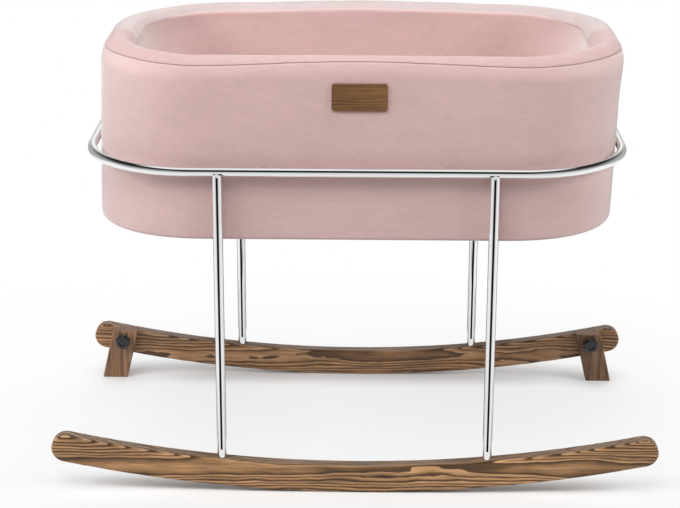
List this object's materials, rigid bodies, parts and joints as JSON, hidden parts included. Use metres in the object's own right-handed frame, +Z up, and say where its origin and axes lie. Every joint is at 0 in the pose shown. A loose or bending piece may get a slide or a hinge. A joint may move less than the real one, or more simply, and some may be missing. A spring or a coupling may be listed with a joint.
{
  "type": "rocking cradle",
  "caption": "Rocking cradle: padded oval velvet basket in a chrome tube ring on upright legs, bent-wood rockers, and swing-down stop feet clamped by hand knobs.",
  "frame": {"origin": "centre of the footprint, on the floor that the rockers and stop feet stand on", "axes": "+X along the rockers, +Y towards the rocker that carries the stop feet, +Z up"},
  "size_m": [1.028, 0.558, 0.7482],
  "materials": {
    "chrome": "polished",
    "steel": "satin",
    "stained_wood": "satin",
    "black_plastic": "matte",
    "plywood": "matte",
    "velvet": "matte",
    "rim_velvet_front": "matte",
    "rim_velvet_rear": "matte",
    "foam": "matte",
    "mattress_cover": "matte",
    "dust_cloth": "matte",
    "label_wood": "satin"
  },
  "bodies": {
    "cradle": {"frame_ring": "chrome", "leg_front_left": "chrome", "leg_front_right": "chrome", "leg_rear_left": "chrome", "leg_rear_right": "chrome", "leg_inserts": "steel", "leg_bolts": "steel", "leg_washers": "steel", "rocker_insert_left": "steel", "rocker_insert_right": "steel", "base_screws": "steel", "basket_bolts": "steel", "basket_washers": "steel", "ring_spacers": "steel", "ring_bushes": "steel", "rocker_front": "stained_wood", "rocker_rear": "stained_wood", "basket_shell": "plywood", "basket_base": "plywood", "outer_cover": "velvet", "inner_liner": "velvet", "rim_cover_front": "rim_velvet_front", "rim_cover_rear": "rim_velvet_rear", "rim_pad": "foam", "dust_cover": "dust_cloth", "label_plate": "label_wood"},
    "stop_left": {"stop_foot_left": "stained_wood", "stop_washer_left": "steel"},
    "stop_right": {"stop_foot_right": "stained_wood", "stop_washer_right": "steel"},
    "clamp_left": {"knob_left": "black_plastic", "knob_stud_left": "steel"},
    "clamp_right": {"knob_right": "black_plastic", "knob_stud_right": "steel"},
    "bedding": {"mattress": "mattress_cover"}
  },
  "joints": [
    {"name": "stop_left_swing", "type": "hinge", "parent": "cradle", "child": "stop_left", "pos_m": [-0.455, 0.254, 0.07836], "axis": [0, -1, 0], "range_deg": [0, 91]},
    {"name": "stop_right_swing", "type": "hinge", "parent": "cradle", "child": "stop_right", "pos_m": [0.455, 0.254, 0.07836], "axis": [0, 1, 0], "range_deg": [0, 91]},
    {"name": "knob_left_turn", "type": "hinge", "parent": "cradle", "child": "clamp_left", "pos_m": [-0.455, 0.254, 0.07836], "axis": [0, -1, 0], "range_deg": [0, 360]},
    {"name": "knob_right_turn", "type": "hinge", "parent": "cradle", "child": "clamp_right", "pos_m": [0.455, 0.254, 0.07836], "axis": [0, -1, 0], "range_deg": [0, 360]},
    {"name": "mattress_lift", "type": "slide", "parent": "cradle", "child": "bedding", "axis": [0, 0, 1], "range_m": [0, 0.32]}
  ]
}
